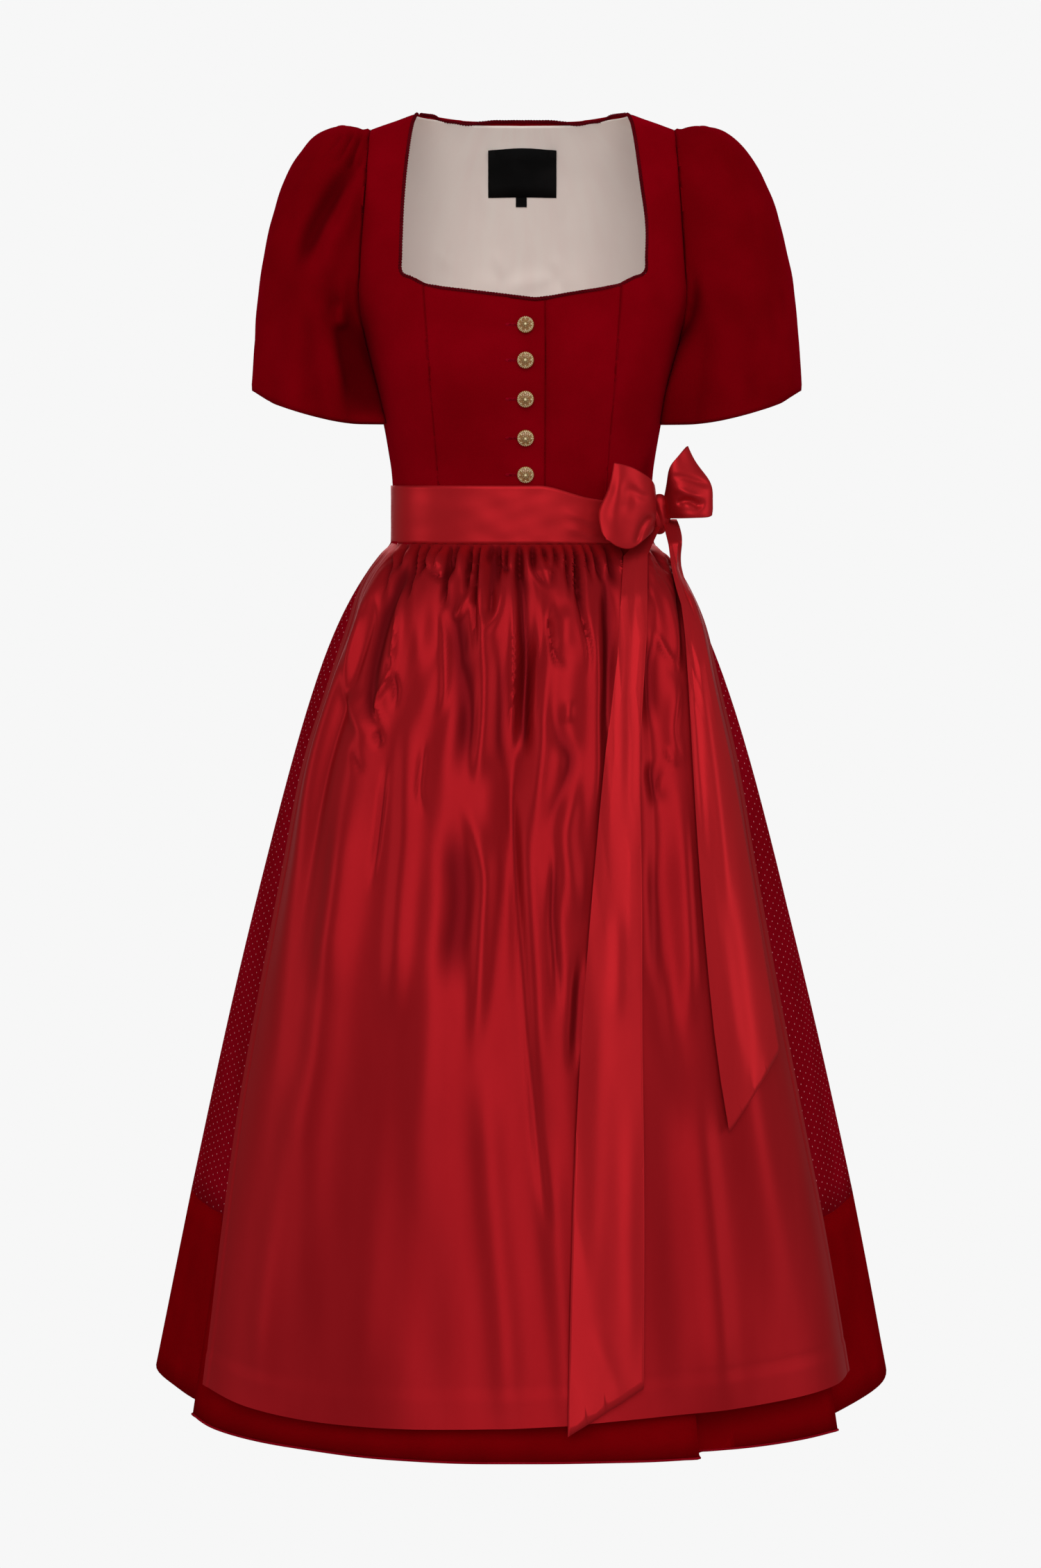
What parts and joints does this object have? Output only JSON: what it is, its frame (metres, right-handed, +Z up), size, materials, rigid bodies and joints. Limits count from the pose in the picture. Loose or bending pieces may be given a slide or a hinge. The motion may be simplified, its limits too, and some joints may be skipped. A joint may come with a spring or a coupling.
{
  "type": "dirndl",
  "caption": "Worn dirndl with short sleeves, buttoned velvet bodice, gathered satin apron with a bow, and a flared dotted skirt.",
  "frame": {"origin": "midway between the shoulders, at the height of the neck points, where the wearer's shoulders hold it", "axes": "+Z up along the wearer, -Y to the front, +X to the wearer's left"},
  "size_m": [0.7376, 0.6794, 1.2391],
  "materials": {
    "velvet": "matte pile",
    "apron_satin": "satin",
    "dotted_cloth": "matte, with pin dots",
    "hem_cloth": "matte",
    "lining_satin": "satin",
    "piping": "corded",
    "gold": "polished relief",
    "label_cloth": "woven, bare"
  },
  "bodies": {
    "root": {"bodice_front_left": "velvet", "bodice_front_right": "velvet", "bodice_side_front_left": "velvet", "bodice_side_front_right": "velvet", "bodice_back": "velvet", "back_lining": "lining_satin", "neck_label": "label_cloth", "size_tab": "label_cloth", "neck_piping_left": "piping", "neck_piping_right": "piping", "neck_piping_back": "piping", "sleeve_left": "velvet", "sleeve_right": "velvet", "button_1": "gold", "button_2": "gold", "button_3": "gold", "button_4": "gold", "button_5": "gold", "skirt_front": "dotted_cloth", "skirt_side_left": "dotted_cloth", "skirt_side_right": "dotted_cloth", "skirt_back_left": "dotted_cloth", "skirt_back_right": "dotted_cloth", "hem_band_front": "hem_cloth", "hem_band_side_left": "hem_cloth", "hem_band_side_right": "hem_cloth", "hem_band_back_left": "hem_cloth", "hem_band_back_right": "hem_cloth", "apron": "apron_satin", "waistband": "apron_satin", "sash_back": "apron_satin", "bow_knot": "apron_satin", "bow_loop_left": "apron_satin", "bow_loop_right": "apron_satin", "bow_tail_front": "apron_satin", "bow_tail_side": "apron_satin"}
  },
  "joints": []
}
